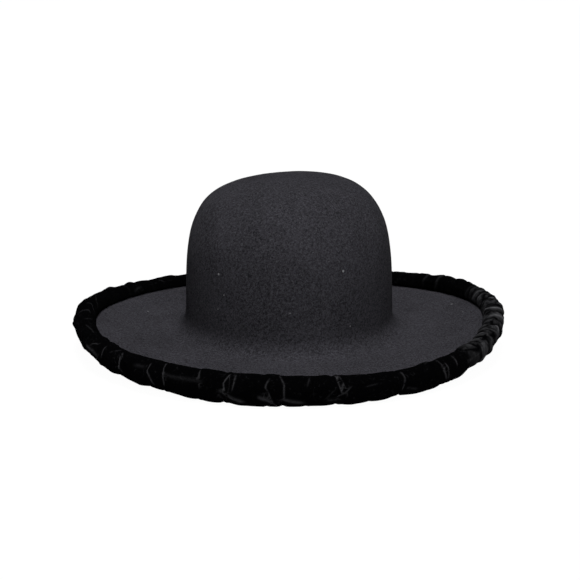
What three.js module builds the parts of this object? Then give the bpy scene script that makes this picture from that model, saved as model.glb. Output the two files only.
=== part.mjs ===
// A wide-brim felt hat with a plain round crown. The crown and the brim are one blocked piece of felt, and a
// gathered velvet roll is wrapped over the brim's edge. Millimetres, +Z up, the front of the hat towards -Y.
// The hat rests on the underside of its roll at z = 0, and the origin is the middle of that footprint.
import * as THREE from "three";
import { LoftGeometry } from "three/addons/geometries/LoftGeometry.js";

// Head opening, inside the felt
const HEAD_WIDTH = 166;
const HEAD_LENGTH = 201;

// Felt wall and crown
const FELT_THICKNESS = 2.5;
const CROWN_HEIGHT = 124.5; // from the brim's upper face to the top of the crown
const CROWN_TILT_DEG = 2.4; // the crown's top stands higher on the right
const TILT_START = 4; // how late the tilt sets in on the way up, where 1 tilts the whole crown
const DOME_RISE = 3.5; // exponents of the crown's rounded profile, where a higher one is squarer
const DOME_SPREAD = 3.45;
const BEND_RADIUS = 15; // where the crown turns out into the brim
const DENT_DEPTH = 1.8; // about how deep the crown's soft dents are
const DENT_REACH = 22; // how far they spread

// Brim
const BRIM_WIDTH = 83.5; // from the crown's wall to the felt's cut edge
const EDGE_RISE = 16.2; // how far the brim's edge curls up at its highest
const CURL = 1.6; // how late the brim curls up on its way out, where 1 is straight

// Velvet roll
const ROLL_WIDTH = 18;
const ROLL_HEIGHT = 23;
const FELT_IN_ROLL = 10; // how far the brim's edge reaches into the roll
const SEAM_GAP = 0.35; // between the felt and the velvet round it
const GATHER_PITCH = 20; // from one crease to the next, where the table below gives none
const GATHER_DEPTH = 2.8; // how deep the sharpest crease cuts into the roll
const PUFF_FULLNESS = 0.4; // how roundly the velvet swells between two creases, where 1 is a parabola
const PRESSED = 1.6; // how much of the roll's underside is pressed flat where the hat rests

// The brim's edge and its roll in equal steps of angle: how high the edge stands as a share of EDGE_RISE, how tall
// the roll is as a share of ROLL_HEIGHT, and how far it sits up on the edge as a share of ROLL_HEIGHT.
const EDGE = [
  { place: "right", rise: 0.88, roll: 0.82, lift: 0.0 },
  { place: "back of right", rise: 0.5, roll: 0.98, lift: 0.1 },
  { place: "right of back", rise: 0.05, roll: 1.04, lift: 0.06 },
  { place: "back", rise: -0.08, roll: 1.04, lift: -0.03 },
  { place: "left of back", rise: 0.03, roll: 1.02, lift: -0.04 },
  { place: "back of left", rise: 0.22, roll: 1.0, lift: 0.05 },
  { place: "left", rise: 0.56, roll: 0.9, lift: 0.12 },
  { place: "front of left", rise: 0.56, roll: 0.78, lift: -0.14 },
  { place: "left of front", rise: 0.01, roll: 1.03, lift: 0.03 },
  { place: "front", rise: -0.15, roll: 1.07, lift: 0.03 },
  { place: "right of front", rise: -0.01, roll: 0.86, lift: -0.05 },
  { place: "front of right", rise: 0.49, roll: 0.74, lift: -0.09 },
];

// Soft dents in the crown, where a negative depth swells outward: the angle round it from the right side in
// degrees, the height as a share of the dome's, and the depth and reach as shares of DENT_DEPTH and DENT_REACH.
const DENTS = [
  { at: 235, height: 0.78, depth: 0.7, reach: 0.8 },
  { at: 285, height: 0.74, depth: 0.6, reach: 0.9 },
  { at: 325, height: 0.19, depth: 0.8, reach: 0.9 },
  { at: 211, height: 0.18, depth: 1.0, reach: 0.9 },
  { at: 100, height: 0.6, depth: 0.8, reach: 1.0 },
  { at: 174, height: 0.9, depth: -1.0, reach: 1.1 },
];

// The creases across the front half of the roll: the angle round the hat in degrees, the depth as a share of
// GATHER_DEPTH, and how far the crease's top runs ahead of its underside as a share of GATHER_PITCH.
const FRONT_CREASES = [
  { at: 198, depth: 0.6, slant: 0.3 },
  { at: 207, depth: 0.7, slant: 0.2 },
  { at: 213, depth: 0.5, slant: 0.3 },
  { at: 223, depth: 1.0, slant: 0.1 },
  { at: 234, depth: 0.8, slant: -0.1 },
  { at: 239, depth: 0.9, slant: 0.0 },
  { at: 248, depth: 0.7, slant: 0.0 },
  { at: 254.5, depth: 1.0, slant: -0.2 },
  { at: 264.5, depth: 0.8, slant: -0.2 },
  { at: 268.5, depth: 0.8, slant: -0.1 },
  { at: 274.5, depth: 0.7, slant: 0.2 },
  { at: 281.5, depth: 1.0, slant: -0.2 },
  { at: 289, depth: 0.4, slant: 0.1 },
  { at: 298, depth: 0.9, slant: -0.1 },
  { at: 308, depth: 0.9, slant: -0.3 },
  { at: 313, depth: 0.7, slant: -0.2 },
  { at: 319, depth: 1.0, slant: 0.2 },
  { at: 325, depth: 0.9, slant: 0.3 },
];

// How unevenly the back's creases fall, as shares of GATHER_PITCH, of GATHER_DEPTH and of GATHER_PITCH again, each
// swinging at its own rate from one crease to the next.
const UNEVEN = {
  pitch: { share: 0.3, rate: 2.4 },
  depth: { share: 0.25, rate: 3.9 },
  slant: { share: 0.3, rate: 1.7 },
};

// Mesh steps
const AROUND = 64;
const CROWN_ROWS = 14;
const BEND_ROWS = 4;
const BRIM_ROWS = 6;
const ROLL_SIDES = 12;
const PUFF_STEP = 7; // between two stations along a puff of the roll
const FEWEST_PUFF_STEPS = 3;
const CROWN_CAP = 0.03; // share of the way down the crown where its small top cap ends
const ROW_CROWDING = 1.5; // how much closer the crown's rows lie towards its top, where 1 is even
const TANGENT_STEP = 1e-3;

const TURN = 2 * Math.PI;
const radians = THREE.MathUtils.degToRad;
const halfWidth = HEAD_WIDTH / 2 + FELT_THICKNESS;
const halfLength = HEAD_LENGTH / 2 + FELT_THICKNESS;
const edgeRadius = (halfWidth + halfLength) / 2 + BRIM_WIDTH;

const edgeCurve = new THREE.CatmullRomCurve3(
  EDGE.map(({ rise, roll, lift }) => new THREE.Vector3(rise, roll, lift)),
  true,
  "catmullrom",
  0.5,
);

// The brim's edge and its roll at an angle round the hat from its right side, in millimetres.
function edgeAt(angle) {
  const share = angle / TURN;
  const { x, y, z } = edgeCurve.getPoint(share - Math.floor(share));
  return { rise: x * EDGE_RISE, rollHeight: y * ROLL_HEIGHT, lift: z * ROLL_HEIGHT };
}

// A point of the hat's oval plan, `size` times the crown's own oval and then `out` millimetres outside it.
function ovalPoint(angle, size, out, z) {
  const normal = new THREE.Vector2(Math.cos(angle) / halfWidth, Math.sin(angle) / halfLength).normalize();
  return new THREE.Vector3(
    halfWidth * size * Math.cos(angle) + out * normal.x,
    halfLength * size * Math.sin(angle) + out * normal.y,
    z,
  );
}

// The crown before it is dented, at a height that is a share of the dome's.
function domePoint(height, angle) {
  const size = (1 - height ** DOME_RISE) ** (1 / DOME_SPREAD);
  const point = ovalPoint(angle, size, 0, BEND_RADIUS + (CROWN_HEIGHT - BEND_RADIUS) * height);
  point.z += Math.tan(radians(CROWN_TILT_DEG)) * point.x * height ** TILT_START;
  return point;
}

const dentCentres = DENTS.map(({ at, height, depth, reach }) => ({
  centre: domePoint(height, radians(at)),
  depth: depth * DENT_DEPTH,
  reach: reach * DENT_REACH,
}));

function crownPoint(height, angle) {
  const point = domePoint(height, angle);
  const inward = new THREE.Vector3(-point.x, -point.y, 0).normalize();
  const push = dentCentres.reduce(
    (sum, { centre, depth, reach }) => sum + depth * Math.exp(-((point.distanceTo(centre) / reach) ** 2)),
    0,
  );
  return point.addScaledVector(inward, push);
}

// The felt's outer face. `along` runs from 0 at the crown's top to 1 where the bend starts, to 2 where the brim
// starts and to 3 at the brim's cut edge.
function outerFelt(along, angle) {
  if (along < 1) {
    const turn = (Math.PI / 2) * along ** ROW_CROWDING;
    return crownPoint(Math.cos(turn) ** (2 / DOME_RISE), angle);
  }
  if (along < 2) {
    const turn = ((along - 1) * Math.PI) / 2;
    return ovalPoint(angle, 1, BEND_RADIUS * (1 - Math.cos(turn)), BEND_RADIUS * (1 - Math.sin(turn)));
  }
  const share = along - 2;
  const out = BEND_RADIUS + (BRIM_WIDTH - BEND_RADIUS) * share;
  return ovalPoint(angle, 1, out, edgeAt(angle).rise * share ** CURL);
}

// The directions of the felt at a point: out along its face, and square to it.
function feltFrame(along, angle) {
  const before = outerFelt(Math.max(along - TANGENT_STEP, TANGENT_STEP), angle);
  const outward = outerFelt(Math.min(along + TANGENT_STEP, 3), angle).sub(before).normalize();
  const round = outerFelt(along, angle + TANGENT_STEP).sub(outerFelt(along, angle - TANGENT_STEP));
  return { outward, normal: new THREE.Vector3().crossVectors(outward, round).normalize() };
}

function innerFelt(along, angle) {
  return outerFelt(along, angle).addScaledVector(feltFrame(along, angle).normal, -FELT_THICKNESS);
}

function feltStations() {
  const crown = Array.from({ length: CROWN_ROWS }, (_, i) => CROWN_CAP + ((1 - CROWN_CAP) * i) / CROWN_ROWS);
  const bend = Array.from({ length: BEND_ROWS }, (_, i) => 1 + i / BEND_ROWS);
  const brim = Array.from({ length: BRIM_ROWS + 1 }, (_, i) => 2 + i / BRIM_ROWS);
  return [...crown, ...bend, ...brim];
}

// A ring drawn in to its own middle, which closes the loft there.
function pole(ring) {
  const centre = ring.reduce((sum, point) => sum.add(point), new THREE.Vector3()).divideScalar(ring.length);
  return ring.map(() => centre);
}

// One closed wall: down the inside from the crown's top to the cut edge, and back up the outside.
function feltGeometry() {
  const ring = (face, along) => Array.from({ length: AROUND }, (_, j) => face(along, (TURN * j) / AROUND));
  const inside = feltStations().map((along) => ring(innerFelt, along));
  const outside = feltStations().map((along) => ring(outerFelt, along));
  return new LoftGeometry([pole(inside[0]), ...inside, ...outside.toReversed(), pole(outside[0])]);
}

// Every crease round the roll: those of the table, and on the back half evenly pitched ones that wander a little.
function creases() {
  const front = FRONT_CREASES.map(({ at, depth, slant }) => ({ angle: radians(at), depth, slant }));
  const first = front[0];
  const last = front.at(-1);
  const span = first.angle + TURN - last.angle;
  const count = Math.round((edgeRadius * span) / GATHER_PITCH);
  const swing = ({ share, rate }, i) => share * Math.sin(rate * i);
  const back = Array.from({ length: count - 1 }, (_, i) => ({
    angle: last.angle + (span * (i + 1 + swing(UNEVEN.pitch, i))) / count,
    depth: 1 - UNEVEN.depth.share + swing(UNEVEN.depth, i),
    slant: swing(UNEVEN.slant, i),
  }));
  return [...front, ...back];
}

// The stations that the roll is lofted through: a pinched one at each crease and full ones between them.
function rollStations() {
  const all = creases();
  return all.flatMap((crease, i) => {
    const next = i + 1 < all.length ? all[i + 1] : { ...all[0], angle: all[0].angle + TURN };
    const steps = Math.max(FEWEST_PUFF_STEPS, Math.round((edgeRadius * (next.angle - crease.angle)) / PUFF_STEP));
    return Array.from({ length: steps }, (_, k) => {
      const share = k / steps;
      const mix = (a, b) => a + (b - a) * share;
      const pinch = (1 - (4 * share * (1 - share)) ** PUFF_FULLNESS) * GATHER_DEPTH;
      return {
        angle: mix(crease.angle, next.angle),
        pinch: pinch * mix(crease.depth, next.depth),
        slant: mix(crease.slant, next.slant) * GATHER_PITCH,
      };
    });
  });
}

// One cross-section of the roll: a rounded outline open on its inner side, where the brim's edge sits in it.
function rollSection({ angle, pinch, slant }) {
  const slotHalf = FELT_THICKNESS / 2 + SEAM_GAP;
  const slotEnd = FELT_IN_ROLL + SEAM_GAP - ROLL_WIDTH / 2;
  const { rollHeight, lift } = edgeAt(angle);
  const topLip = Math.PI - Math.asin((slotHalf - lift) / (rollHeight / 2));
  const bottomLip = -Math.PI + Math.asin((slotHalf + lift) / (rollHeight / 2));
  const radius = (ROLL_WIDTH + rollHeight) / 4;
  const at = (across, up) => {
    const here = angle + (slant * up) / rollHeight / edgeRadius;
    const { outward, normal } = feltFrame(3, here);
    return outerFelt(3, here)
      .addScaledVector(normal, up - FELT_THICKNESS / 2)
      .addScaledVector(outward, across + ROLL_WIDTH / 2 - FELT_IN_ROLL);
  };
  const points = [];
  for (let i = 0; i <= ROLL_SIDES; i++) {
    const turn = topLip + ((bottomLip - topLip) * i) / ROLL_SIDES;
    const full = 1 - pinch / radius;
    const onLip = i === 0 || i === ROLL_SIDES;
    const up = onLip ? slotHalf * Math.sign(turn) : lift + (rollHeight / 2) * full * Math.sin(turn);
    points.push(at((ROLL_WIDTH / 2) * full * Math.cos(turn), up));
  }
  points.push(at(slotEnd, -slotHalf), at(slotEnd, slotHalf));
  return points;
}

// The sections in a closed ring, with the lowest stretch of the underside pressed flat.
function rollGeometry() {
  const sections = rollStations().map(rollSection);
  const rest = Math.min(...sections.flat().map(({ z }) => z)) + PRESSED;
  sections.flat().forEach((point) => (point.z = Math.max(point.z, rest)));
  return new LoftGeometry([...sections, sections[0]]);
}

const felt = new THREE.MeshStandardMaterial({ color: 0x35353a, roughness: 0.95, metalness: 0 });
const velvet = new THREE.MeshStandardMaterial({ color: 0x060607, roughness: 0.8, metalness: 0 });

function namedMesh(name, geometry, material) {
  const mesh = new THREE.Mesh(geometry, material);
  mesh.name = name;
  return mesh;
}

const hat = new THREE.Group();
hat.add(namedMesh("felt_body", feltGeometry(), felt));
hat.add(namedMesh("velvet_roll", rollGeometry(), velvet));

const extent = new THREE.Box3().setFromObject(hat);
const middle = extent.getCenter(new THREE.Vector3());
hat.position.set(-middle.x, -middle.y, -extent.min.z);

export default hat;
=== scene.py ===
import math
import random

import bpy
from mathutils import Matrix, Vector, noise


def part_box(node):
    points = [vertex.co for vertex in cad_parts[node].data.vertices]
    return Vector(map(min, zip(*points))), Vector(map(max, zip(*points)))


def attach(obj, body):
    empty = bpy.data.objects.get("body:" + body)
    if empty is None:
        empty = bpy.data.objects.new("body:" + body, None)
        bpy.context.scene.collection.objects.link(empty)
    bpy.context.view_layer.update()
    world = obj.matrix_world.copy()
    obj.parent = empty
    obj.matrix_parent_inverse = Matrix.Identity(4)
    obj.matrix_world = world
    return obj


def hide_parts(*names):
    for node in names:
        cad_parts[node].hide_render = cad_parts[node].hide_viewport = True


bl_info = {
    "name": "Wide-brim hat",
    "version": (1, 0, 0),
    "blender": (4, 5, 0),
    "location": "3D View > Sidebar > Hat",
    "description": "Makes a felt hat with a gathered velvet roll on its brim, over its packed frame",
    "category": "Add Mesh",
}

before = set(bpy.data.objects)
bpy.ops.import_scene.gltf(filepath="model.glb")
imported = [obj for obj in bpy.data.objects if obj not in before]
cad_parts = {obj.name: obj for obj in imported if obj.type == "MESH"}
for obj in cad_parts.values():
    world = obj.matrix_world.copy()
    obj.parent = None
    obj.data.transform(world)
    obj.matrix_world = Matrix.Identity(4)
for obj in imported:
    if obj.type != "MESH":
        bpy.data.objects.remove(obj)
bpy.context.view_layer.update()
FELT_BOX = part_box("felt_body")
TURN = 2 * math.pi

# The brim's edge and its roll in equal steps of angle from the right side, anticlockwise as seen from
# above: how high the edge stands as a share of the edge's rise, how tall the roll is as a share of its
# height, how far it sits up on the edge as a share of its height, and how full it is gathered as a share
# of its spare cloth.
EDGE = (
    # rise, roll, lift, gather
    (0.88, 0.82, 0.0, 1.0),
    (0.5, 0.98, 0.1, 0.9),
    (0.05, 1.04, 0.06, 0.7),
    (-0.08, 1.04, -0.03, 0.6),
    (0.03, 1.02, -0.04, 0.6),
    (0.22, 1.0, 0.05, 0.6),
    (0.56, 0.9, 0.12, 0.6),
    (0.56, 0.78, -0.14, 0.55),
    (0.01, 1.03, 0.03, 0.45),
    (-0.15, 1.07, 0.03, 0.4),
    (-0.01, 0.86, -0.05, 0.5),
    (0.49, 0.74, -0.09, 0.8),
)

# Soft dents in the crown, where a negative depth swells outward: the angle round it from the right side
# in degrees, the height as a share of the dome's, and the depth and reach as shares of the felt's dent
# depth and dent reach.
DENTS = (
    # angle, height, depth, reach
    (235, 0.78, 0.7, 0.8),
    (285, 0.74, 0.6, 0.9),
    (325, 0.19, 0.8, 0.9),
    (211, 0.18, 1.0, 0.9),
    (100, 0.6, 0.8, 1.0),
    (174, 0.9, -1.0, 1.1),
)

# The gathers that show from the front, from its left round to the hat's right side: the angle round the
# hat in degrees, the depth as a share of the roll's gather depth, and how far the gather's top runs ahead
# of its underside as a share of the gather pitch.
SEEN_GATHERS = (
    # angle, depth, slant
    (198.5, 0.6, 0.3),
    (205.5, 0.6, 0.2),
    (213.5, 0.6, 0.3),
    (225.5, 1.0, 0.1),
    (235.5, 0.8, -0.1),
    (240, 0.8, 0.0),
    (249, 0.6, -0.1),
    (255.3, 1.0, -0.1),
    (265, 0.7, -0.2),
    (268.5, 0.8, -0.1),
    (273.8, 0.6, 0.1),
    (280.5, 1.0, -0.2),
    (288.5, 0.3, 0.1),
    (296, 0.9, 0.0),
    (308, 0.9, -0.3),
    (311.5, 0.7, -0.2),
    (318.5, 0.9, 0.2),
    (324.5, 0.9, 0.1),
    (330.5, 0.8, 0.3),
    (334.5, 0.9, 0.2),
    (341.5, 1.0, 0.2),
    (344.5, 0.8, 0.4),
    (351.2, 1.0, 0.3),
    (356, 0.7, 0.2),
    (361, 0.7, 0.1),
    (364, 0.9, -0.3),
    (369, 0.8, -0.2),
    (374, 0.9, 0.1),
)

# Lines and patches of painted highlight, where the pile is crushed and painted lighter, or, with a shine
# below 0, of painted shade that darkens a fold's valley: where each starts and ends as an angle round the
# hat in degrees and a side of the roll (0 on its outside, 1 over the top and -1 under the bottom), its
# width as a share of the roll's crease width, and how bright it is.
GLINTS = (
    # angle, side, angle, side, width, shine
    (133, 0.62, 132, 0.65, 0.9, 0.16),
    (143, 0.68, 146, 0.72, 1.4, 0.11),
    (172, 0.46, 178, 0.7, 0.9, 0.16),
    (182.5, 0.42, 185, 0.64, 0.9, 0.27),
    (188, 0.22, 188, 0.34, 0.9, 0.35),
    (188, 0.34, 190.5, 0.5, 0.9, 0.23),
    (195.5, 0.4, 196.5, 0.58, 0.9, 0.14),
    (200.5, 0.34, 206, 0.48, 0.9, 0.16),
    (212, 0.18, 214, 0.26, 1, 0.32),
    (211, 0.04, 216, -0.06, 2.2, 0.3),
    (218, 0.26, 218, 0.02, 0.9, 0.32),
    (221.5, 0.26, 223, 0.38, 0.9, 0.21),
    (226, 0.22, 226, -0.06, 0.9, 1),
    (226.5, -0.08, 227.2, -0.12, 0.9, 0.32),
    (225.5, 0.34, 227, 0.24, 0.9, 0.42),
    (232.5, 0.16, 234, 0.18, 1.8, 0.1),
    (236, 0.24, 236, 0.12, 0.8, 0.64),
    (236, 0.12, 238, -0.08, 0.8, 0.45),
    (239.8, 0.4, 240.5, 0.14, 0.8, 0.45),
    (240.5, 0.14, 241, -0.06, 0.8, 0.58),
    (241.5, 0.12, 250, 0.12, 2, 0.1),
    (249.5, 0.32, 250, 0.06, 0.8, 0.4),
    (256.5, 0.32, 255.5, 0.16, 0.8, 0.56),
    (255.5, 0.16, 256, 0.06, 0.8, 0.72),
    (258.2, 0.3, 257.9, 0.12, 0.8, 0.4),
    (255.5, -0.02, 259.5, -0.16, 2, 0.45),
    (265.5, 0.24, 265, 0.12, 0.8, 0.4),
    (265, 0.12, 267, -0.22, 0.8, 0.32),
    (264, -0.08, 266.5, -0.16, 1.6, 0.45),
    (268.2, 0.38, 269, 0.18, 0.8, 0.34),
    (269, 0.18, 269, -0.06, 0.8, 0.56),
    (269, -0.1, 272.2, -0.16, 1.8, 0.38),
    (274.5, 0.36, 274, 0.22, 0.8, 0.16),
    (280.4, 0.42, 281.5, -0.04, 0.65, 0.52),
    (281.4, 0.4, 282.5, 0.02, 0.65, 0.33),
    (283, 0.1, 280.6, -0.1, 0.65, 0.29),
    (278.5, -0.18, 280.5, -0.18, 1.3, 0.17),
    (278, -0.1, 279.5, 0.04, 0.8, 0.13),
    (287.5, 0.12, 289, 0.14, 0.8, 0.1),
    (296.6, 0.34, 296.6, 0.14, 0.8, 0.33),
    (296.6, 0.14, 296, -0.1, 0.8, 0.38),
    (297.5, -0.08, 299.5, -0.12, 1.5, 0.13),
    (304.8, 0.42, 308.2, 0.54, 0.9, 0.15),
    (308.2, 0.54, 308.8, 0.16, 0.9, 0.21),
    (308.5, 0.16, 309, -0.08, 1, 0.52),
    (310, 0.22, 310, -0.08, 0.9, 0.39),
    (314, 0.4, 313.5, 0.16, 0.9, 0.35),
    (320.5, 0.4, 324, 0.26, 2.2, 0.42),
    (326.5, 0.52, 325, 0.12, 0.9, 0.28),
    (319, 0, 325, 0.04, 2.2, 0.32),
    (327.2, 0.26, 326.5, 0.04, 1.6, 0.5),
    (333, 0.6, 333.4, 0.4, 2.7, 0.6),
    (339.5, 0.42, 340, 0.26, 2, 0.6),
    (340.2, 0.24, 339.4, 0.04, 2.7, 0.9),
    (343, 0.34, 344.6, 0.02, 2, 1),
    (346.5, 0.5, 347, 0.34, 4.1, 0.6),
    (347, 0.34, 349, 0.08, 4.4, 0.8),
    (353.5, 0.62, 352.5, 0.46, 2.7, 0.8),
    (352.5, 0.46, 353.8, 0.18, 3.1, 1),
    (0.2, 0.66, 1.5, 0.46, 2.4, 0.6),
    (1.5, 0.46, 3.5, 0.22, 2.4, 0.7),
    (6.8, 0.7, 8.5, 0.4, 2.4, 0.7),
    (12, 0.7, 11.2, 0.46, 2.7, 0.7),
    (320, 0.4, 323.5, 0.16, 3, -1),
    (324.5, 0.38, 325.5, 0.22, 2.3, -1),
    (326, 0.56, 327, 0.32, 1.9, -0.9),
    (329, 0.34, 330.5, 0.24, 1.9, -0.8),
    (330, 0.58, 331.5, 0.38, 2.3, -1),
    (332.5, 0.24, 334.5, 0.08, 2.3, -0.8),
    (334, 0.4, 335, 0.12, 3, -1),
    (335.5, 0.6, 336.2, 0.2, 1.5, -0.7),
    (337.5, 0.4, 338, 0.18, 1.5, -0.6),
    (338.5, 0.66, 339.2, 0.46, 1.9, -0.6),
    (340, 0.44, 341.6, 0.22, 2.3, -0.9),
    (341.6, 0.22, 341.6, 0.02, 2.7, -1),
    (342.5, 0.4, 344, 0.22, 1.7, -0.8),
    (344, 0.22, 345.5, 0.0, 2.3, -1),
    (348, 0.52, 349.5, 0.34, 1.5, -0.5),
    (349.5, 0.56, 351, 0.38, 2.7, -1),
    (351, 0.38, 351.6, 0.1, 3, -1),
    (355, 0.62, 355, 0.44, 1.9, -0.8),
    (355, 0.44, 356.5, 0.16, 1.5, -0.7),
    (357, 0.58, 357, 0.38, 1.5, -0.6),
    (357, 0.38, 359.5, 0.14, 1.7, -0.8),
    (0, 0.44, 1, 0.18, 1.7, -0.8),
    (0, 0.7, 2.5, 0.52, 1.7, -0.8),
    (2.5, 0.52, 4.5, 0.34, 2.3, -1),
    (2.5, 0.78, 4.5, 0.6, 1.9, -0.9),
    (4.5, 0.6, 7, 0.42, 2.3, -1),
)

# Flecks of lint on the felt: where they lie and how big they are, in metres.
LINT = (
    ((-0.0548, -0.0762, 0.0742), 0.0012),
    ((0.0417, -0.0868, 0.0789), 0.0012),
    ((-0.1214, 0.0442, 0.0145), 0.0012),
    ((-0.0558, -0.0775, 0.0464), 0.0006),
    ((-0.0788, -0.0942, 0.0127), 0.0010),
    ((-0.0508, -0.0820, 0.0587), 0.0006),
    ((0.0007, -0.1025, 0.0492), 0.0006),
    ((0.1404, 0.0510, 0.0190), 0.0015),
    ((0.0965, 0.0511, 0.0128), 0.0014),
    ((0.1464, 0.0166, 0.0203), 0.0014),
    ((0.0476, -0.0853, 0.0346), 0.0006),
)

# Mesh steps of the felt
AROUND = 128
CROWN_ROWS = 30
BEND_ROWS = 8
BRIM_ROWS = 16
CROWN_CAP = 0.05  # where the first row lies, and the flat top inside it is filled in
ROW_CROWDING = 1.5  # how the crown's rows crowd together towards its top, where 1 is even

# Shape of the felt
DOME_RISE = 3.5  # exponents of the crown's rounded profile, where a higher one is squarer
DOME_SPREAD = 3.45
TILT_START = 4  # how late the tilt sets in on the way up, where 1 tilts the whole crown
CURL = 1.6  # how late the brim curls up on its way out, where 1 is straight
RIPPLES = (
    # waves in a metre, strength as a share of the felt's ripple
    (30, 1.0),
    (75, 0.6),
)
RIPPLE_LIFT = 0.3  # how much of a ripple's push is upward, as a share of the crown's height
RIPPLE_END = 3.6  # the ripples fade over the last step before this station, so the edge keeps some

# Mesh steps of the roll
ROLL_STATIONS = 800
ROLL_SIDES = 30
SLOT_SIDES = 4
LIP_SHARE = 1 - SLOT_SIDES / ROLL_SIDES  # the side of the roll where the slot's two lips are
TINY = 1e-6

# How the gathers pinch the roll
PINCH_REACH = 0.0018  # how far a gather's pinch spreads, in metres
PINCH_CUTOFF = 5  # how many of those reaches away it still counts
MOST_PINCH = 1.2  # the deepest pinch where gathers meet, as a share of the gather depth
FOLD_FADE = 0.15  # how far past its ends a fold fades out, as a side of the roll
NEAR_DEGREES = 5  # how far round the hat from a place its folds and glints are looked for

# Gathers that chance places where the table has none
SCATTER = 7  # the seed
SPACINGS = 0.7, 1.3  # least and most, as shares of the gather pitch
LOOSE_SPACING = 1.2  # how much wider they stand where the velvet isn't full
TAKEN_UP = 0.55  # how much of that a full velvet takes up
SPANS = (-1, 1), (-1, 1), (-0.3, 1), (-1, 0.4)  # the lowest and highest side, of which one is drawn
DEPTHS = 0.5, 1
SLANTS = -0.4, 0.4
# A chance gather deeper than this gets a painted highlight along its ridge, by SHINE_GAIN times the depth
# past it.
DULL_DEPTH = 0.7  # a gather that is deeper than this catches the light
SHINE_GAIN = 2

# A pressed crease is a groove with a ridge beside it. Places are in crease widths, heights are shares of
# the crease depth, and a higher sharpness is narrower.
GROOVE_SHARPNESS = 2
RIDGE_AT = 0.8
RIDGE_HEIGHT = 0.5
RIDGE_SHARPNESS = 4
# The glow is a painted highlight along the ridge.
GLOW_SHARPNESS = 6
GLINT_HEIGHT = 0.4
GLINT_FADE = 0.002  # how far a glint fades out beyond its ends, in metres
# Painted shade: how strongly a groove's line darkens the velvet's colour.
PAINTED_FOLD_SHADE_GAIN = 2.4  # how strongly a groove darkens the pile, where 1 only does so at its line
# The painted sheen of the laid-over pile fades in and out round the hat over this angle.
NAP_SHEEN_FADE = math.radians(8)  # how slowly the laid-over pile starts and ends round the hat

# What each point of the velvet says of its pile: how much painted highlight its crushed pile gets, how many
# half widths it lies beside the line of its glint, how much painted shade it gets in a fold, and how much
# painted sheen it gets where its pile is laid over.
PILE_MARKS = "crushed_pile", "beside_glint", "dark_pile", "laid_nap"

# The velvet's cloth simulation
SIMULATED_FRAMES = 20
FIRM_FILLING = 0.3  # how far the filling lets the velvet sink in, as a share of the most puff
HOLD_REACH = 3  # how many crease widths beside its line a crease still holds the velvet
CLOTH = {
    "quality": 5,
    "mass": 0.002,
    "tension_stiffness": 15,
    "compression_stiffness": 15,
    "shear_stiffness": 5,
    "bending_stiffness": 0.05,
    "use_pressure": True,
    "uniform_pressure_force": 40,
}

# Patches of colour that noise makes. Between low and high, the noise becomes a share from least to most.
PATCHES = {
    # scale in a metre, detail, distortion, low, high, least, most
    "cloudy felt": (28, 2, 0, 0.3, 0.7, 0, 1),
    "stray fibres": (1100, 1, 2, 0.6, 0.78, 0, 0.25),
    "broken glints": (450, 2, 0, 0.25, 0.45, 0, 0.65),
    # Painted sheen in streaks where the pile is laid over.
    "nap sheen streaks": (160, 3, 1, 0.35, 0.65, 0.08, 0.35),
    "pale wisps": (260, 3, 1.5, 0.6, 0.75, 0.005, 0.12),
}

# Matted fibres: the noises of their clumps, strands and grain, and what is made of them
FIBRE_NOISES = (
    # scale as a share of the fibres' own, detail, distortion
    (1.0, 3, 0.6),
    (0.8, 2, 4.5),
    (2.2, 2, 1.5),
)
STRAND_WIDTH = 0.09
MOTTLE_RANGE = 0.39, 0.61  # the part of the noise that runs from dark to pale
SPECK_CORE = 0.6  # how much of a lint fleck's radius is solid

# Looks of the felt and the velvet
RELIEF_DEPTH = 0.0004  # in metres
FELT_CLOUDINESS = 0.15  # how much of the tone comes from clouds, the rest being fibres
FELT_DARKEST = 0.2  # shares of the felt's own colour
FELT_PALEST = 1.85
FELT_ROUGHNESS = 1.0, 0.86  # where the fibres are dark, and where they are pale
FELT_RELIEF = 0.7
FELT_SHINE = {"Specular IOR Level": 0.05, "Sheen Weight": 0.002, "Sheen Roughness": 0.6}
# Painted highlight: how bright the crests of the laid-over pile are painted.
VELVET_CREST_LIGHT = 0.9  # how bright the crushed ridges of the laid-over pile are
VELVET_ROUGHNESS = 0.95, 0.55  # where the pile stands, and where it catches the light
VELVET_RELIEF = 0.5
VELVET_SHINE = {"Specular IOR Level": 0.0, "Sheen Weight": 0.002, "Sheen Roughness": 0.35}

# The stage
FLOOR_SIZE = 60
PAPER_GREY = 0.38
PAPER_GLOW = 1.08  # how bright the paper glows to the camera
GLOW_SHARE = 0.9  # how much of the paper that the camera sees is its glow
ROOM_LIGHT = 0.02  # how bright the room is to all but the camera
LIGHTS = (
    # name, azimuth to the right of the camera, elevation, spread, strength
    ("top_panel", 0, 90, 25, 2.4),
    ("front_panel", 8, 32, 25, 1.6),
)


def length_setting(name, description, metres):
    return bpy.props.FloatProperty(name=name, description=description, default=metres, unit="LENGTH")


def angle_setting(name, description, degrees):
    radians = math.radians(degrees)
    return bpy.props.FloatProperty(name=name, description=description, default=radians, subtype="ANGLE")


def colour_setting(name, description, colour):
    return bpy.props.FloatVectorProperty(
        name=name, description=description, default=colour, size=3, subtype="COLOR"
    )


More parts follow.
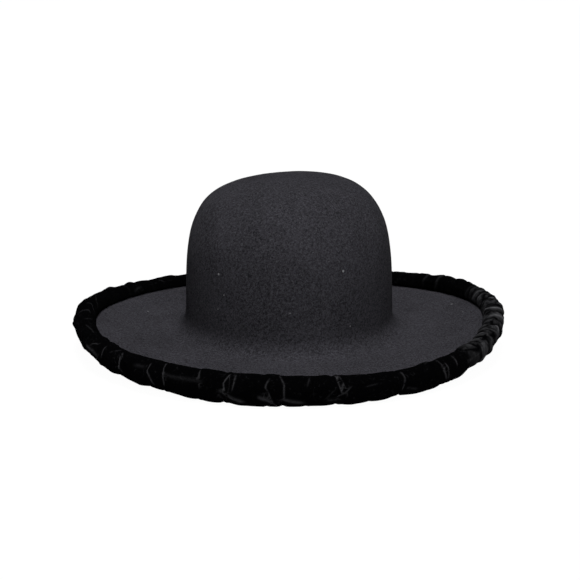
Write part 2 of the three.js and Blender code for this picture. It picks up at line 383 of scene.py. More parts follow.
class HatFeltSizes(bpy.types.PropertyGroup):
    head_width: length_setting("Head width", "Width of the head opening inside the felt", 0.166)
    head_length: length_setting("Head length", "Length of the head opening inside the felt", 0.201)
    thickness: length_setting("Thickness", "Thickness of the felt", 0.0025)
    crown_height: length_setting("Crown height", "From the brim to the top of the crown", 0.1245)
    crown_tilt: angle_setting("Crown tilt", "How much the crown's top rises to the right", 2.4)
    bend_radius: length_setting("Bend radius", "Where the crown turns out into the brim", 0.015)
    brim_width: length_setting("Brim width", "From the crown's wall to the cut edge", 0.0835)
    edge_rise: length_setting("Edge rise", "How far the brim's edge curls up at its highest", 0.0162)
    dent_depth: length_setting("Dent depth", "About how deep the crown's soft dents are", 0.0018)
    dent_reach: length_setting("Dent reach", "How far the dents spread", 0.022)
    ripple: length_setting("Ripple", "How uneven the pressed felt is", 0.0004)
    fibre_size: length_setting("Fibre size", "Spacing of the felt's matted fibres", 0.0017)
    colour: colour_setting("Colour", "The felt's own colour", (0.033, 0.032, 0.038))
    lint_colour: colour_setting("Lint colour", "Pale lint and stray fibres", (0.25, 0.25, 0.26))


class HatRollSizes(bpy.types.PropertyGroup):
    width: length_setting("Width", "Width of the velvet roll", 0.018)
    height: length_setting("Height", "Height of the velvet roll", 0.023)
    felt_inside: length_setting("Felt inside", "How far the brim reaches into the roll", 0.010)
    seam_gap: length_setting("Seam gap", "Between the felt and the velvet", 0.00035)
    gather_pitch: length_setting("Gather pitch", "About how far apart the gathers stand", 0.020)
    gather_depth: length_setting("Gather depth", "How deep the sharpest gather cuts in", 0.0016)
    spare_cloth: bpy.props.FloatProperty(
        name="Spare cloth",
        description="How much longer the velvet is than the roll, as a share",
        default=0.12,
    )
    most_puff: length_setting("Most puff", "How far the simulation may move the velvet", 0.002)
    crease_width: length_setting("Crease width", "Width of a pressed crease", 0.0015)
    crease_depth: length_setting("Crease depth", "Depth of a pressed crease", 0.0012)
    # Where the painted sheen of the laid-over pile starts and ends round the hat.
    nap_sheen_from: angle_setting("Nap sheen from", "Where the laid-over pile starts", -42)
    nap_sheen_to: angle_setting("Nap sheen to", "Where the laid-over pile ends", 20)
    pile_size: length_setting("Pile size", "Spacing of the velvet's tufts", 0.0009)
    colour: colour_setting("Colour", "The velvet's own colour", (0.0008, 0.0008, 0.001))
    # The colour that the painted sheen, the glints' painted highlights and the pile's pale wisps blend
    # towards.
    sheen_and_wisp_colour: colour_setting("Sheen and wisp colour", "Where its pile lies over", (0.12, 0.12, 0.128))


class HatStageSizes(bpy.types.PropertyGroup):
    camera_distance: length_setting("Camera distance", "From the camera to its aim", 1.4)
    camera_elevation: angle_setting("Camera elevation", "Above the horizon", 12.9)
    camera_aim: bpy.props.FloatVectorProperty(
        name="Camera aim",
        description="The point that the camera looks at",
        default=(0.00066, 0.0, 0.044),
        size=3,
        subtype="XYZ_LENGTH",
    )
    lens_mm: bpy.props.FloatProperty(
        name="Lens", description="Focal length in millimetres", default=104.7
    )


def ramp(value):
    """The value, kept between 0 and 1."""
    return min(1, max(0, value))


def turn_between(start, end):
    """How far one angle lies past another, from half a turn behind it to half a turn ahead."""
    return (end - start + math.pi) % TURN - math.pi


def spline(values, share):
    """The value of a closed Catmull-Rom curve through the values, at a share of the way round."""
    place = (share % 1.0) * len(values)
    i = math.floor(place)
    t = place - i
    a, b, c, d = (values[(i + k) % len(values)] for k in (-1, 0, 1, 2))
    return b + 0.5 * t * (c - a + t * (2 * a - 5 * b + 4 * c - d + t * (3 * (b - c) + d - a)))


def edge_at(angle):
    """The rise, roll, lift and gather shares of the brim's edge at an angle round the hat."""
    return [spline(column, angle / TURN) for column in zip(*EDGE)]


class FeltForm:
    """The felt's outer face as formulas. `along` runs from 0 at the crown's top to 1 where the bend
    starts, to 2 where the brim starts and to 3 at the brim's cut edge."""

    def __init__(self, felt):
        self.felt = felt
        self.half_width = felt.head_width / 2 + felt.thickness
        self.half_length = felt.head_length / 2 + felt.thickness
        self.edge_radius = (self.half_width + self.half_length) / 2 + felt.brim_width
        self.dents = []
        for angle, height, depth, reach in DENTS:
            at = self.dome_point(height, math.radians(angle))
            self.dents.append((at, depth * felt.dent_depth, reach * felt.dent_reach))

    def oval_point(self, angle, size, out, z):
        right, back = math.cos(angle), math.sin(angle)
        normal = Vector((right / self.half_width, back / self.half_length)).normalized()
        x = self.half_width * size * right + out * normal.x
        y = self.half_length * size * back + out * normal.y
        return Vector((x, y, z))

    def dome_point(self, height, angle):
        felt = self.felt
        size = (1 - height**DOME_RISE) ** (1 / DOME_SPREAD)
        z = felt.bend_radius + (felt.crown_height - felt.bend_radius) * height
        point = self.oval_point(angle, size, 0, z)
        point.z += math.tan(felt.crown_tilt) * point.x * height**TILT_START
        return point

    def crown_point(self, height, angle):
        point = self.dome_point(height, angle)
        inward = Vector((-point.x, -point.y, 0)).normalized()
        push = sum(
            depth * math.exp(-(((point - at).length / reach) ** 2)) for at, depth, reach in self.dents
        )
        return point + inward * push

    def point(self, along, angle):
        felt = self.felt
        if along < 1:
            turn = math.pi / 2 * along**ROW_CROWDING
            return self.crown_point(math.cos(turn) ** (2 / DOME_RISE), angle)
        if along < 2:
            turn = (along - 1) * math.pi / 2
            out = felt.bend_radius * (1 - math.cos(turn))
            return self.oval_point(angle, 1, out, felt.bend_radius * (1 - math.sin(turn)))
        share = along - 2
        out = felt.bend_radius + (felt.brim_width - felt.bend_radius) * share
        return self.oval_point(angle, 1, out, edge_at(angle)[0] * felt.edge_rise * share**CURL)

    def edge_frame(self, angle):
        """The brim's cut edge at an angle, its direction outward and its normal upward."""
        step = 1e-3
        edge = self.point(3, angle)
        outward = (edge - self.point(3 - step, angle)).normalized()
        along = self.point(3, angle + step) - self.point(3, angle - step)
        return edge, outward, outward.cross(along).normalized()


def place_in_frame(form):
    """How far the formulas' own frame lies from the CAD frame, so that both felts' boxes match."""
    low, high = FELT_BOX
    ring = [form.point(3, TURN * i / AROUND) for i in range(AROUND)]
    middle_x = (max(p.x for p in ring) + min(p.x for p in ring)) / 2
    middle_y = (max(p.y for p in ring) + min(p.y for p in ring)) / 2
    top = max(form.point(CROWN_CAP, TURN * i / AROUND).z for i in range(AROUND))
    return Vector(((low.x + high.x) / 2 - middle_x, (low.y + high.y) / 2 - middle_y, high.z - top))


def start_piece(name):
    """The primitive that was just added, named and alone in the selection."""
    piece = bpy.context.object
    piece.name = name
    piece.data.name = name
    return piece


def apply_modifier(piece, kind, **values):
    modifier = piece.modifiers.new(kind.title(), kind)
    for key, value in values.items():
        setattr(modifier, key, value)
    bpy.ops.object.modifier_apply(modifier=modifier.name)


class HAT_OT_felt_body(bpy.types.Operator):
    """Stretch a sheet of felt over the block to make the crown and the brim in one piece"""

    bl_idname = "hat.felt_body"
    bl_label = "Block the felt"

    def execute(self, context):
        felt = context.scene.hat_felt
        form = FeltForm(felt)
        shift = place_in_frame(form)
        rows = felt_rows()
        bpy.ops.object.select_all(action="DESELECT")
        bpy.ops.mesh.primitive_grid_add(x_subdivisions=AROUND, y_subdivisions=len(rows) - 1, size=1)
        body = start_piece("felt_hat_body")
        for vertex in body.data.vertices:
            angle = (vertex.co.x + 0.5) * TURN
            along = rows[round((vertex.co.y + 0.5) * (len(rows) - 1))]
            point = form.point(along, angle)
            uneven = sum(strength * noise.noise(point * waves) for waves, strength in RIPPLES)
            away = Vector((point.x, point.y, RIPPLE_LIFT * felt.crown_height)).normalized()
            vertex.co = point + shift + away * felt.ripple * uneven * min(1, RIPPLE_END - along)
        bpy.ops.object.mode_set(mode="EDIT")
        bpy.ops.mesh.select_all(action="SELECT")
        bpy.ops.mesh.remove_doubles(threshold=1e-5)
        bpy.ops.mesh.select_all(action="DESELECT")
        bpy.ops.object.mode_set(mode="OBJECT")
        rim_height = (FELT_BOX[0].z + FELT_BOX[1].z) / 2
        edge_uses = {}
        for polygon in body.data.polygons:
            for key in polygon.edge_keys:
                edge_uses[key] = edge_uses.get(key, 0) + 1
        for edge in body.data.edges:
            open_edge = edge_uses[edge.key] == 1
            high = body.data.vertices[edge.vertices[0]].co.z > rim_height
            edge.select = open_edge and high
        bpy.ops.object.mode_set(mode="EDIT")
        bpy.ops.mesh.select_mode(type="EDGE")
        bpy.ops.mesh.fill_grid(span=AROUND // 4)
        bpy.ops.mesh.select_all(action="SELECT")
        bpy.ops.mesh.normals_make_consistent(inside=False)
        bpy.ops.object.mode_set(mode="OBJECT")
        apply_modifier(body, "SOLIDIFY", thickness=felt.thickness, offset=-1, use_even_offset=True)
        apply_modifier(body, "SUBSURF", levels=1, render_levels=1)
        bpy.ops.object.shade_smooth()
        body.data.materials.append(felt_material(felt))
        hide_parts("felt_body")
        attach(body, "root")
        return {"FINISHED"}


def felt_rows():
    """The stations along the felt from the crown's top to the brim's edge."""
    crown = [CROWN_CAP + (1 - CROWN_CAP) * i / CROWN_ROWS for i in range(CROWN_ROWS)]
    bend = [1 + i / BEND_ROWS for i in range(BEND_ROWS)]
    brim = [2 + i / BRIM_ROWS for i in range(BRIM_ROWS + 1)]
    return crown + bend + brim


def add_node(tree, kind, inputs=None, **settings):
    """Add a node, set it up, and link or set its inputs by name or number."""
    node = tree.nodes.new(kind)
    for name, value in settings.items():
        setattr(node, name, value)
    for name, value in (inputs or {}).items():
        if isinstance(value, bpy.types.NodeSocket):
            tree.links.new(value, node.inputs[name])
        else:
            node.inputs[name].default_value = value
    return node


def calculate(tree, operation, *values):
    return add_node(tree, "ShaderNodeMath", dict(enumerate(values)), operation=operation).outputs[0]


def noise_value(tree, place, scale, detail, distortion):
    inputs = {"Vector": place, "Scale": scale, "Detail": detail, "Distortion": distortion}
    return add_node(tree, "ShaderNodeTexNoise", inputs).outputs["Fac"]


def spread(tree, value, low, high, to_low=0.0, to_high=1.0):
    """Stretch the part of a value between low and high over another range."""
    inputs = {"Value": value, "From Min": low, "From Max": high, "To Min": to_low, "To Max": to_high}
    return add_node(tree, "ShaderNodeMapRange", inputs).outputs["Result"]


def weighted_sum(tree, *parts):
    """The sum of some values, each times its weight."""
    total = 0.0
    for value, weight in parts:
        total = calculate(tree, "MULTIPLY_ADD", value, weight, total)
    return total


def patches(tree, place, name):
    """The share that a row of the table of patches makes over the surface."""
    scale, detail, distortion, low, high, least, most = PATCHES[name]
    cloud = noise_value(tree, place, scale, detail, distortion)
    return spread(tree, cloud, low, high, least, most)


def blend_colours(tree, share, first, second):
    mix = add_node(tree, "ShaderNodeMix", {0: share}, data_type="RGBA")
    for number, colour in ((6, first), (7, second)):
        if isinstance(colour, bpy.types.NodeSocket):
            tree.links.new(colour, mix.inputs[number])
        else:
            mix.inputs[number].default_value = (*colour, 1)
    return mix.outputs[2]


def start_group(name, inputs, outputs):
    """An empty node group, with its named inputs and outputs. Each is a name and a kind."""
    tree = bpy.data.node_groups.new(name, "ShaderNodeTree")
    for way, sockets in (("INPUT", inputs), ("OUTPUT", outputs)):
        for socket_name, kind in sockets:
            tree.interface.new_socket(socket_name, in_out=way, socket_type=kind)
    return tree, tree.nodes.new("NodeGroupInput").outputs, tree.nodes.new("NodeGroupOutput").inputs


def tangled_fibres():
    """Short fibres matted in every direction. Size is their spacing in metres."""
    if "tangled_fibres" in bpy.data.node_groups:
        return bpy.data.node_groups["tangled_fibres"]
    sockets = ("Place", "NodeSocketVector"), ("Size", "NodeSocketFloat")
    results = ("Mottle", "NodeSocketFloat"), ("Height", "NodeSocketFloat")
    tree, given, result = start_group("tangled_fibres", sockets, results)
    noises = []
    for share, detail, distortion in FIBRE_NOISES:
        scale = calculate(tree, "DIVIDE", share, given["Size"])
        noises.append(noise_value(tree, given["Place"], scale, detail, distortion))
    clumps, strands, grain = noises
    mottle = weighted_sum(tree, (clumps, 0.4), (grain, 0.6))
    tree.links.new(spread(tree, mottle, *MOTTLE_RANGE), result["Mottle"])
    ridges = calculate(tree, "ABSOLUTE", calculate(tree, "SUBTRACT", strands, 0.5))
    lines = spread(tree, ridges, 0.0, STRAND_WIDTH, 1.0, 0.0)
    tree.links.new(weighted_sum(tree, (lines, 0.5), (grain, 0.8)), result["Height"])
    return tree


def lint_speck():
    """One fleck of pale lint at a place on the surface."""
    sockets = ("Place", "NodeSocketVector"), ("Spot", "NodeSocketVector"), ("Size", "NodeSocketFloat")
    tree, given, result = start_group("lint_speck", sockets, (("Mask", "NodeSocketFloat"),))
    ends = {0: given["Place"], 1: given["Spot"]}
    gap = add_node(tree, "ShaderNodeVectorMath", ends, operation="DISTANCE")
    ratio = calculate(tree, "DIVIDE", gap.outputs["Value"], given["Size"])
    tree.links.new(spread(tree, ratio, SPECK_CORE, 1.0, 1.0, 0.0), result["Mask"])
    return tree


def group_node(tree, group, **inputs):
    node = add_node(tree, "ShaderNodeGroup", node_tree=group)
    for name, value in inputs.items():
        if isinstance(value, bpy.types.NodeSocket):
            tree.links.new(value, node.inputs[name])
        else:
            node.inputs[name].default_value = value
    return node.outputs


def start_material(name):
    """A new material, its node tree, and the place on the object that its patterns follow."""
    material = bpy.data.materials.new(name)
    material.use_nodes = True
    tree = material.node_tree
    return material, tree, add_node(tree, "ShaderNodeTexCoord").outputs["Object"]


def dress_surface(tree, colour, roughness, height, relief, shine):
    shader = tree.nodes["Principled BSDF"]
    tree.links.new(colour, shader.inputs["Base Color"])
    tree.links.new(roughness, shader.inputs["Roughness"])
    bump = add_node(
        tree, "ShaderNodeBump", {"Height": height, "Strength": relief, "Distance": RELIEF_DEPTH}
    )
    tree.links.new(bump.outputs["Normal"], shader.inputs["Normal"])
    for name, value in shine.items():
        shader.inputs[name].default_value = value


def felt_material(felt):
    material, tree, place = start_material("charcoal_felt")
    fibres = group_node(tree, tangled_fibres(), Place=place, Size=felt.fibre_size)
    cloudy = patches(tree, place, "cloudy felt")
    tone = weighted_sum(tree, (fibres["Mottle"], 1 - FELT_CLOUDINESS), (cloudy, FELT_CLOUDINESS))
    dark = [FELT_DARKEST * part for part in felt.colour]
    pale = [FELT_PALEST * part for part in felt.colour]
    colour = blend_colours(tree, tone, dark, pale)
    colour = blend_colours(tree, patches(tree, place, "stray fibres"), colour, felt.lint_colour)
    speck = lint_speck()
    lint = 0.0
    for spot, size in LINT:
        mask = group_node(tree, speck, Place=place, Spot=spot, Size=size)["Mask"]
        lint = calculate(tree, "MAXIMUM", mask, lint)
    colour = blend_colours(tree, lint, colour, felt.lint_colour)
    roughness = spread(tree, fibres["Mottle"], 0.0, 1.0, *FELT_ROUGHNESS)
    dress_surface(tree, colour, roughness, fibres["Height"], FELT_RELIEF, FELT_SHINE)
    return material


class HAT_OT_velvet_roll(bpy.types.Operator):
    """Gather a velvet roll over the brim's edge and let the cloth puff between its creases"""

    bl_idname = "hat.velvet_roll"
    bl_label = "Gather the velvet roll"

    def execute(self, context):
        felt, sizes = context.scene.hat_felt, context.scene.hat_roll
        form = FeltForm(felt)
        shift = place_in_frame(form)
        folds = creases(form, sizes)
        bpy.ops.object.select_all(action="DESELECT")
        bpy.ops.mesh.primitive_torus_add(
            major_segments=ROLL_STATIONS,
            minor_segments=ROLL_SIDES,
            major_radius=form.edge_radius,
            minor_radius=sizes.height / 2,
        )
        roll = start_piece("gathered_velvet_roll")
        round_hat = roll.data.attributes.new("round_hat", "FLOAT_VECTOR", "POINT")
        round_roll = roll.data.attributes.new("round_roll", "FLOAT_VECTOR", "POINT")
        # A place is kept as two directions, which blend well where its angles jump by a whole turn.
        places = []
        for vertex in roll.data.vertices:
            angle = math.atan2(vertex.co.y, vertex.co.x) % TURN
            out = math.hypot(vertex.co.x, vertex.co.y) - form.edge_radius
            turn = math.atan2(vertex.co.z, out)
            side = turn / math.pi
            places.append((angle, side))
            round_hat.data[vertex.index].vector = (math.cos(angle), math.sin(angle), 0)
            round_roll.data[vertex.index].vector = (math.cos(turn), math.sin(turn), 0)
            vertex.co = roll_point(form, sizes, folds, angle, side) + shift
        puff_cloth(roll, form, sizes, folds, places)
        apply_modifier(roll, "SUBSURF", levels=1, render_levels=1)
        press_creases(roll, form, sizes, folds)
        for vertex in roll.data.vertices:
            vertex.co.z = max(vertex.co.z, 0)
        bpy.ops.object.shade_smooth()
        roll.data.materials.append(velvet_material(sizes))
        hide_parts("velvet_roll")
        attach(roll, "root")
        return {"FINISHED"}


def press_creases(roll, form, sizes, folds):
    """Sharpen each fold on the finished mesh, and mark the pile's painted highlights, shade and sheen."""
    for name in PILE_MARKS:
        roll.data.attributes.new(name, "FLOAT", "POINT")
    crushed_glint, beside, dark, laid_nap = (roll.data.attributes[name].data for name in PILE_MARKS)
    round_hat, round_roll = (roll.data.attributes[name].data for name in ("round_hat", "round_roll"))
    folds_near = near_degrees(folds, lambda fold: (math.degrees(fold[0]),))
    glints_near = near_degrees(GLINTS, lambda glint: (glint[0], glint[2]))
    moves = []
    for vertex in roll.data.vertices:
        hat, section_way = round_hat[vertex.index].vector, round_roll[vertex.index].vector
        angle = math.atan2(hat.y, hat.x) % TURN
        side = math.atan2(section_way.y, section_way.x) / math.pi
        degree = int(math.degrees(angle)) % 360
        move, groove, glow = fold_relief(form, sizes, folds_near[degree], angle, side)
        rise, shade, bright, aside = glint_relief(form, sizes, glints_near[degree], angle, side)
        if glow > bright:
            bright, aside = glow, 0
        # Painted highlight on glints and ridges, painted shade in grooves, painted sheen where the pile is
        # laid over.
        crushed_glint[vertex.index].value = bright
        beside[vertex.index].value = aside
        dark[vertex.index].value = min(1, PAINTED_FOLD_SHADE_GAIN * max(groove, shade))
        laid_nap[vertex.index].value = nap_sheen_over(sizes, angle)
        moves.append(vertex.normal * (move + rise) * sizes.crease_depth)
    for vertex, move in zip(roll.data.vertices, moves):
        vertex.co += move


def fold_relief(form, sizes, folds, angle, side):
    """What the folds do at a place: how far they move it, how deep it is in a groove, which is painted in
    as shade, and how much painted highlight its ridge gets."""
    move = groove = glow = 0
    for fold in folds:
        distance = fold_distance(form, sizes, fold, angle, side) / sizes.crease_width
        shown = fold_shown(fold, side)
        off_ridge = (distance - RIDGE_AT) ** 2
        move += shown * RIDGE_HEIGHT * math.exp(-RIDGE_SHARPNESS * off_ridge)
        move -= shown * math.exp(-GROOVE_SHARPNESS * abs(distance))
        groove = max(groove, shown * math.exp(-(distance**2)))
        glow = max(glow, fold[5] * shown * math.exp(-GLOW_SHARPNESS * off_ridge))
    return move, groove, glow


def glint_relief(form, sizes, glints, angle, side):
    """What the glints do at a place: how far they raise it, how much painted shade it gets, how much
    painted highlight it gets, and how many half widths it lies beside the nearest one's line."""
    rise = shade = bright = aside = 0
    nearest = math.inf
    for glint in glints:
        *_, width, strength = glint
        half_width = width * sizes.crease_width / 2
        gap, left = glint_gaps(form, sizes, glint, angle, side)
        shine = strength * math.exp(-((gap / half_width) ** 2))
        shade = max(shade, -shine)
        rise += GLINT_HEIGHT * shine
        if strength > 0 and gap < nearest:
            nearest, aside = gap, left / half_width
            bright = strength * max(0, 1 - gap / (half_width + GLINT_FADE))
    return rise, shade, bright, aside


def near_degrees(things, angles_of):
    """The things that lie near each whole degree round the hat."""
    near = [[] for _ in range(360)]
    for thing in things:
        first = math.floor(min(angles_of(thing))) - NEAR_DEGREES
        last = math.ceil(max(angles_of(thing))) + NEAR_DEGREES
        for degree in range(first, last + 1):
            near[degree % 360].append(thing)
    return near


def glint_gaps(form, sizes, glint, angle, side):
    """How far a place lies from a glint, and how far to the left or right of its line, in metres."""
    start_angle, start_side, end_angle, end_side, *_ = glint
    half_girth = (sizes.height + sizes.width) * math.pi / 4
    away = turn_between(math.radians(start_angle), angle) * form.edge_radius
    here = Vector((away, (side - start_side) * half_girth))
    along = math.radians(end_angle - start_angle) * form.edge_radius
    line = Vector((along, (end_side - start_side) * half_girth))
    share = ramp(here.dot(line) / line.length_squared)
    return (here - line * share).length, (line.x * here.y - line.y * here.x) / line.length


def nap_sheen_over(sizes, angle):
    """How much painted sheen the laid-over pile gets at an angle: fully on the hat's right, fading at both
    ends.
    """
    turn = turn_between(0, angle)
    return ramp((turn - sizes.nap_sheen_from) / NAP_SHEEN_FADE) * ramp((sizes.nap_sheen_to - turn) / NAP_SHEEN_FADE)


def fold_distance(form, sizes, fold, angle, side):
    """How far a place lies round the hat from a fold's line, in metres."""
    at, _, slant, *_ = fold
    here = at + slant * sizes.gather_pitch * side / 2 / form.edge_radius
    return turn_between(here, angle) * form.edge_radius


def fold_shown(fold, side):
    """How strongly a fold shows at a side of the roll: its depth, fading past its ends and at the seams."""
    _, depth, _, low, high, _ = fold
    ends = ramp((side - low) / FOLD_FADE + 1) * ramp((high - side) / FOLD_FADE + 1)
    return depth * ends * ramp((LIP_SHARE - abs(side)) / FOLD_FADE)


def puff_cloth(roll, form, sizes, folds, places):
    """Simulate the velvet: more cloth than the roll needs, held at its seams and creases."""
    held = roll.vertex_groups.new(name="held")
    tight = roll.vertex_groups.new(name="tight")
    for index, (angle, side) in enumerate(places):
        held.add([index], hold_at(form, sizes, folds, angle, side), "REPLACE")
        tight.add([index], 1 - edge_at(angle)[3], "REPLACE")
    start = [(vertex.co.copy(), vertex.normal.copy()) for vertex in roll.data.vertices]
    cloth = roll.modifiers.new("Cloth", "CLOTH")
    cloth.settings.vertex_group_mass = held.name
    cloth.settings.vertex_group_shrink = tight.name
    cloth.settings.shrink_min = -sizes.spare_cloth
    cloth.settings.shrink_max = 0
    for name, value in CLOTH.items():
        setattr(cloth.settings, name, value)
    cloth.settings.effector_weights.gravity = 0
    scene = bpy.context.scene
    for number in range(1, SIMULATED_FRAMES + 1):
        scene.frame_set(number)
    bpy.ops.object.modifier_apply(modifier=cloth.name)
    scene.frame_set(1)
    for vertex, (before, normal) in zip(roll.data.vertices, start):
        moved = vertex.co - before
        proud = moved.dot(normal)
        kept = max(-sizes.most_puff * FIRM_FILLING, min(sizes.most_puff, proud))
        along = moved - normal * proud
        along *= min(1, sizes.most_puff / max(along.length, TINY))
        vertex.co = before + normal * kept + along
    roll.vertex_groups.clear()


def hold_at(form, sizes, folds, angle, side):
    """How firmly the velvet is held at a place: fully at its seams, and partly along its creases."""
    if abs(side) >= LIP_SHARE - TINY:
        return 1
    hold = 0
    for fold in folds:
        distance = fold_distance(form, sizes, fold, angle, side)
        if abs(distance) < HOLD_REACH * sizes.crease_width:
            grip = math.exp(-((distance / sizes.crease_width) ** 2))
            hold = max(hold, fold_shown(fold, side) * grip)
    return min(1, hold)


def creases(form, sizes):
    """Every fold round the roll as its angle, depth, slant, the lowest and highest side that it reaches and
    its
    shine: the table's, and chance ones round the rest, of which the deepest get a little painted highlight."""
    folds = []
    for degrees, depth, slant in SEEN_GATHERS:
        folds.append((math.radians(degrees) % TURN, depth, slant, -1, 1, 0))
    chance = random.Random(SCATTER)
    angle, last = folds[-1][0], folds[0][0]
    while True:
        spacing = chance.uniform(*SPACINGS) * (LOOSE_SPACING - TAKEN_UP * edge_at(angle)[3])
        angle += sizes.gather_pitch * spacing / form.edge_radius
        if angle > last - sizes.gather_pitch / 2 / form.edge_radius:
            return folds
        low, high = chance.choice(SPANS)
        depth, slant = chance.uniform(*DEPTHS), chance.uniform(*SLANTS)
        shine = max(0, SHINE_GAIN * (depth - DULL_DEPTH))
        folds.append((angle % TURN, depth, slant, low, high, shine))


def pinch_at(form, sizes, folds, angle, side):
    """How far the creases draw the roll in at an angle round the hat, in metres."""
    pinch = 0
    for fold in folds:
        distance = abs(fold_distance(form, sizes, fold, angle, side))
        if distance < PINCH_CUTOFF * PINCH_REACH:
            pinch += fold_shown(fold, side) * math.exp(-distance / PINCH_REACH)
    return min(pinch, MOST_PINCH) * sizes.gather_depth


def section(form, sizes, angle, side, full):
    """Where a side of the roll lies outward and upward from the felt's edge, scaled by full. `side` runs
    from 0 on its outside to 1 over the top and -1 under the bottom, inside the roll's slot."""
    _, tall, lift, _ = edge_at(angle)
    half_height = sizes.height * tall / 2
    half_width = sizes.width / 2
    rise = sizes.height * lift
    slot_half = form.felt.thickness / 2 + sizes.seam_gap
    slot_end = sizes.felt_inside + sizes.seam_gap - half_width
    if abs(side) <= LIP_SHARE + TINY:
        up_way = 1 if side >= 0 else -1
        lip = math.pi - math.asin((slot_half - up_way * rise) / half_height)
        turn = lip * side / LIP_SHARE
        across = half_width * full * math.cos(turn)
        up = rise + half_height * full * math.sin(turn)
        if abs(side) > LIP_SHARE - TINY:
            up = up_way * slot_half
    else:
        inside = (abs(side) - LIP_SHARE) / (1 - LIP_SHARE)
        across = -half_width + (slot_end + half_width) * min(1, 2 * inside)
        up = math.copysign(slot_half, side) * min(1, 2 - 2 * inside)
    return across + half_width - sizes.felt_inside, up - form.felt.thickness / 2


def roll_point(form, sizes, folds, angle, side):
    edge, outward, normal = form.edge_frame(angle)
    full = 1 - pinch_at(form, sizes, folds, angle, side) / ((sizes.height + sizes.width) / 4)
    across, up = section(form, sizes, angle, side, full)
    return edge + normal * up + outward * across


def velvet_material(sizes):
    material, tree, place = start_material("black_velvet")
    pile = group_node(tree, tangled_fibres(), Place=place, Size=sizes.pile_size)
    crushed_glint, beside, dark, sheen_share = (
        add_node(tree, "ShaderNodeAttribute", attribute_name=name).outputs["Fac"] for name in PILE_MARKS
    )
    # Painted highlights: each glint's line, sharpened by how many half widths aside of it a point lies.
    fade = calculate(tree, "MULTIPLY", calculate(tree, "MULTIPLY", beside, beside), -1.0)
    crushed_glint = calculate(tree, "MULTIPLY", crushed_glint, calculate(tree, "EXPONENT", fade))
    glint_marks = calculate(tree, "MULTIPLY", crushed_glint, patches(tree, place, "broken glints"))
    glint_marks = calculate(tree, "MULTIPLY", glint_marks, calculate(tree, "SUBTRACT", 1.0, sheen_share))
    # Painted sheen where the pile is laid over, in streaks and along the crests, with painted shade in the
    # grooves.
    crest_sheen = calculate(tree, "MULTIPLY", crushed_glint, VELVET_CREST_LIGHT)
    laid = calculate(tree, "MAXIMUM", patches(tree, place, "nap sheen streaks"), crest_sheen)
    laid = calculate(tree, "MULTIPLY", laid, sheen_share)
    laid = calculate(tree, "MULTIPLY", laid, calculate(tree, "SUBTRACT", 1.0, dark))
    lit = calculate(tree, "MAXIMUM", laid, glint_marks)
    wisps = calculate(tree, "MULTIPLY", pile["Mottle"], patches(tree, place, "pale wisps"))
    colour = blend_colours(tree, wisps, sizes.colour, sizes.sheen_and_wisp_colour)
    colour = blend_colours(tree, lit, colour, sizes.sheen_and_wisp_colour)
    roughness = spread(tree, lit, 0.0, 1.0, *VELVET_ROUGHNESS)
    dress_surface(tree, colour, roughness, pile["Height"], VELVET_RELIEF, VELVET_SHINE)
    return material


class HAT_OT_stage(bpy.types.Operator):
    """Set a pale floor, soft lights and the camera"""

    bl_idname = "hat.stage"
    bl_label = "Set the stage"

    def execute(self, context):
        stage = context.scene.hat_stage
        add_floor()
        add_lights()
        add_camera(context, stage)
        return {"FINISHED"}


def add_floor():
    """White paper that glows a little to the camera, so that its shadows are as faint as a studio's."""
    bpy.ops.object.select_all(action="DESELECT")
    bpy.ops.mesh.primitive_plane_add(size=FLOOR_SIZE)
    floor = start_piece("pale_floor")
    material = bpy.data.materials.new("pale_paper")
    material.use_nodes = True
    tree = material.node_tree
    shader = tree.nodes["Principled BSDF"]
    shader.inputs["Base Color"].default_value = (PAPER_GREY, PAPER_GREY, PAPER_GREY, 1)
    shader.inputs["Roughness"].default_value = 0.95
    glow = add_node(tree, "ShaderNodeEmission", {"Strength": PAPER_GLOW}).outputs["Emission"]
    seen = add_node(tree, "ShaderNodeLightPath").outputs["Is Camera Ray"]
    share = calculate(tree, "MULTIPLY", seen, GLOW_SHARE)
    paper = add_node(tree, "ShaderNodeMixShader", {0: share, 1: shader.outputs["BSDF"], 2: glow})
    tree.links.new(paper.outputs["Shader"], tree.nodes["Material Output"].inputs["Surface"])
    floor.data.materials.append(material)


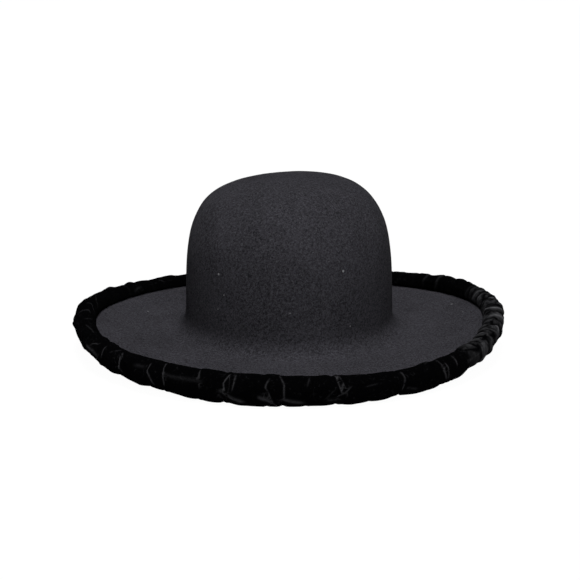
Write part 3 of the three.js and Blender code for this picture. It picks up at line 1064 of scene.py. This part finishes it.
def add_lights():
    """A dim room whose backdrop is white to the camera, and two wide soft panels."""
    world = bpy.data.worlds.new("studio")
    bpy.context.scene.world = world
    world.use_nodes = True
    tree = world.node_tree
    background = tree.nodes["Background"]
    seen = add_node(tree, "ShaderNodeLightPath").outputs["Is Camera Ray"]
    background.inputs["Color"].default_value = (1, 1, 1, 1)
    tree.links.new(spread(tree, seen, 0.0, 1.0, ROOM_LIGHT, 1.0), background.inputs["Strength"])
    for name, azimuth, elevation, width, strength in LIGHTS:
        data = bpy.data.lights.new(name, "SUN")
        data.energy = strength
        data.angle = math.radians(width)
        lamp = bpy.data.objects.new(name, data)
        lamp.rotation_euler = (math.radians(90 - elevation), 0, math.radians(azimuth))
        bpy.context.scene.collection.objects.link(lamp)


def add_camera(context, stage):
    aim = Vector(stage.camera_aim)
    back = Vector((0, -math.cos(stage.camera_elevation), math.sin(stage.camera_elevation)))
    data = bpy.data.cameras.new("camera")
    data.lens = stage.lens_mm
    data.sensor_width = 36
    camera = bpy.data.objects.new("camera", data)
    camera.location = aim + back * stage.camera_distance
    camera.rotation_euler = (-back).to_track_quat("-Z", "Y").to_euler()
    context.scene.collection.objects.link(camera)
    context.scene.camera = camera
    context.scene.view_settings.view_transform = "Standard"


class HAT_PT_parts(bpy.types.Panel):
    """The hat's pieces and stage"""

    bl_label = "Wide-brim hat"
    bl_idname = "HAT_PT_parts"
    bl_space_type = "VIEW_3D"
    bl_region_type = "UI"
    bl_category = "Hat"

    def draw(self, context):
        groups = (
            (HAT_OT_felt_body, context.scene.hat_felt),
            (HAT_OT_velvet_roll, context.scene.hat_roll),
            (HAT_OT_stage, context.scene.hat_stage),
        )
        for operator, settings in groups:
            box = self.layout.box()
            for name in settings.__annotations__:
                box.prop(settings, name)
            box.operator(operator.bl_idname)


CLASSES = (
    HatFeltSizes,
    HatRollSizes,
    HatStageSizes,
    HAT_OT_felt_body,
    HAT_OT_velvet_roll,
    HAT_OT_stage,
    HAT_PT_parts,
)


def register():
    for cls in CLASSES:
        bpy.utils.register_class(cls)
    bpy.types.Scene.hat_felt = bpy.props.PointerProperty(type=HatFeltSizes)
    bpy.types.Scene.hat_roll = bpy.props.PointerProperty(type=HatRollSizes)
    bpy.types.Scene.hat_stage = bpy.props.PointerProperty(type=HatStageSizes)


def unregister():
    del bpy.types.Scene.hat_stage
    del bpy.types.Scene.hat_roll
    del bpy.types.Scene.hat_felt
    for cls in reversed(CLASSES):
        bpy.utils.unregister_class(cls)


def main():
    register()
    bpy.ops.hat.felt_body()
    bpy.ops.hat.velvet_roll()
    bpy.ops.hat.stage()


if __name__ == "__main__":
    main()
